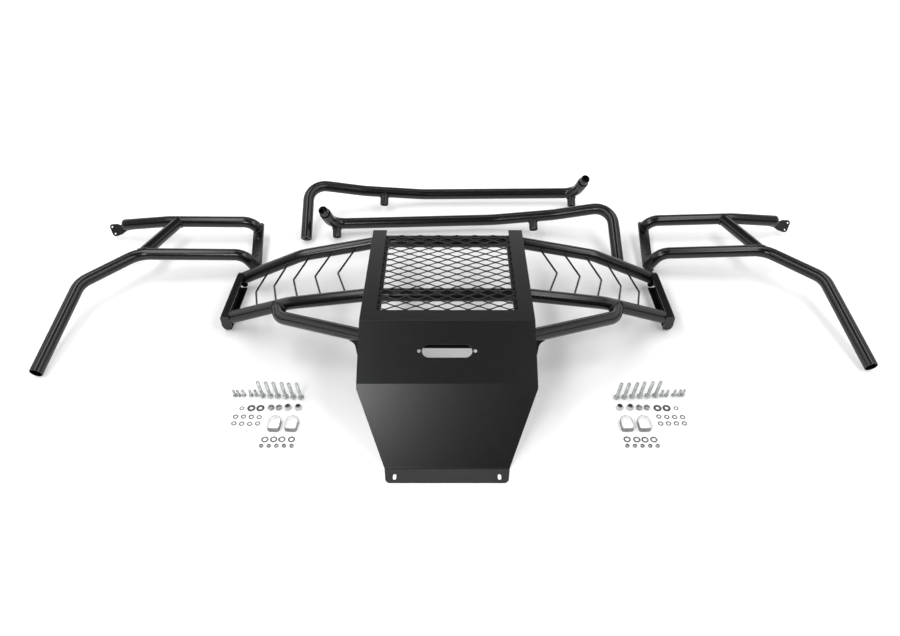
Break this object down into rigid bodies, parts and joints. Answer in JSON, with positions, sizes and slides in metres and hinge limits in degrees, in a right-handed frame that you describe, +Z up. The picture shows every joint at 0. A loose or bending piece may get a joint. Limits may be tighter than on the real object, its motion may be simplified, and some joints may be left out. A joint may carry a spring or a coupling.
{
  "type": "front guard kit",
  "caption": "Tubular front guard kit for a quad bike, laid out on the floor: folded panel with mesh grille, fender wings, side rails and loose fasteners.",
  "frame": {"origin": "on the floor, in the middle of the kit's outline", "axes": "+X to the right along the guard's width, +Y from the guard's lip towards the side rails, +Z up"},
  "size_m": [2.0386, 1.065, 0.193],
  "materials": {
    "black_powder_coat": "satin black powder coat",
    "black_mesh": "matte black powder coat",
    "zinc_plate": "bright zinc plate",
    "grey_spacer": "dull grey zinc plate"
  },
  "bodies": {
    "front_guard": {"front_panel": "black_powder_coat", "grille_mesh": "black_mesh", "upper_tube": "black_powder_coat", "middle_tube": "black_powder_coat", "lower_tube_left": "black_powder_coat", "lower_tube_right": "black_powder_coat", "end_plate_left": "black_powder_coat", "end_plate_right": "black_powder_coat", "gusset_left": "black_powder_coat", "gusset_right": "black_powder_coat", "chevron_left_1": "black_powder_coat", "chevron_left_2": "black_powder_coat", "chevron_left_3": "black_powder_coat", "chevron_left_4": "black_powder_coat", "chevron_left_5": "black_powder_coat", "chevron_right_1": "black_powder_coat", "chevron_right_2": "black_powder_coat", "chevron_right_3": "black_powder_coat", "chevron_right_4": "black_powder_coat", "chevron_right_5": "black_powder_coat"},
    "wing_left": {"wing_left_upper_tube": "black_powder_coat", "wing_left_leg_tube": "black_powder_coat", "wing_left_brace": "black_powder_coat", "wing_left_mount_plate": "black_powder_coat", "wing_left_tab": "black_powder_coat"},
    "wing_right": {"wing_right_upper_tube": "black_powder_coat", "wing_right_leg_tube": "black_powder_coat", "wing_right_brace": "black_powder_coat", "wing_right_mount_plate": "black_powder_coat", "wing_right_tab": "black_powder_coat"},
    "rail_far": {"rail_far_tube": "black_powder_coat", "rail_far_stub_1": "black_powder_coat", "rail_far_stub_2": "black_powder_coat", "rail_far_spigot": "black_powder_coat", "rail_far_foot_insert": "black_powder_coat"},
    "rail_near": {"rail_near_tube": "black_powder_coat", "rail_near_stub_1": "black_powder_coat", "rail_near_stub_2": "black_powder_coat", "rail_near_spigot": "black_powder_coat", "rail_near_foot_insert": "black_powder_coat"},
    "hardware_left": {"bolt_left_1": "zinc_plate", "bolt_left_2": "zinc_plate", "bolt_left_3": "zinc_plate", "bolt_left_4": "zinc_plate", "bolt_left_5": "zinc_plate", "bolt_left_6": "zinc_plate", "spacer_left_1": "grey_spacer", "spacer_left_2": "grey_spacer", "band_left_1": "zinc_plate", "band_left_2": "zinc_plate"},
    "hardware_right": {"bolt_right_1": "zinc_plate", "bolt_right_2": "zinc_plate", "bolt_right_3": "zinc_plate", "bolt_right_4": "zinc_plate", "bolt_right_5": "zinc_plate", "bolt_right_6": "zinc_plate", "spacer_right_1": "grey_spacer", "spacer_right_2": "grey_spacer", "band_right_1": "zinc_plate", "band_right_2": "zinc_plate"}
  },
  "joints": [
    {"name": "wing_left_lift", "type": "slide", "parent": "front_guard", "child": "wing_left", "axis": [0, 0, 1], "range_m": [0, 0.3]},
    {"name": "wing_right_lift", "type": "slide", "parent": "front_guard", "child": "wing_right", "axis": [0, 0, 1], "range_m": [0, 0.3]},
    {"name": "rail_far_lift", "type": "slide", "parent": "front_guard", "child": "rail_far", "axis": [0, 0, 1], "range_m": [0, 0.3]},
    {"name": "rail_near_lift", "type": "slide", "parent": "front_guard", "child": "rail_near", "axis": [0, 0, 1], "range_m": [0, 0.3]},
    {"name": "hardware_left_lift", "type": "slide", "parent": "front_guard", "child": "hardware_left", "axis": [0, 0, 1], "range_m": [0, 0.3]},
    {"name": "hardware_right_lift", "type": "slide", "parent": "front_guard", "child": "hardware_right", "axis": [0, 0, 1], "range_m": [0, 0.3]}
  ]
}
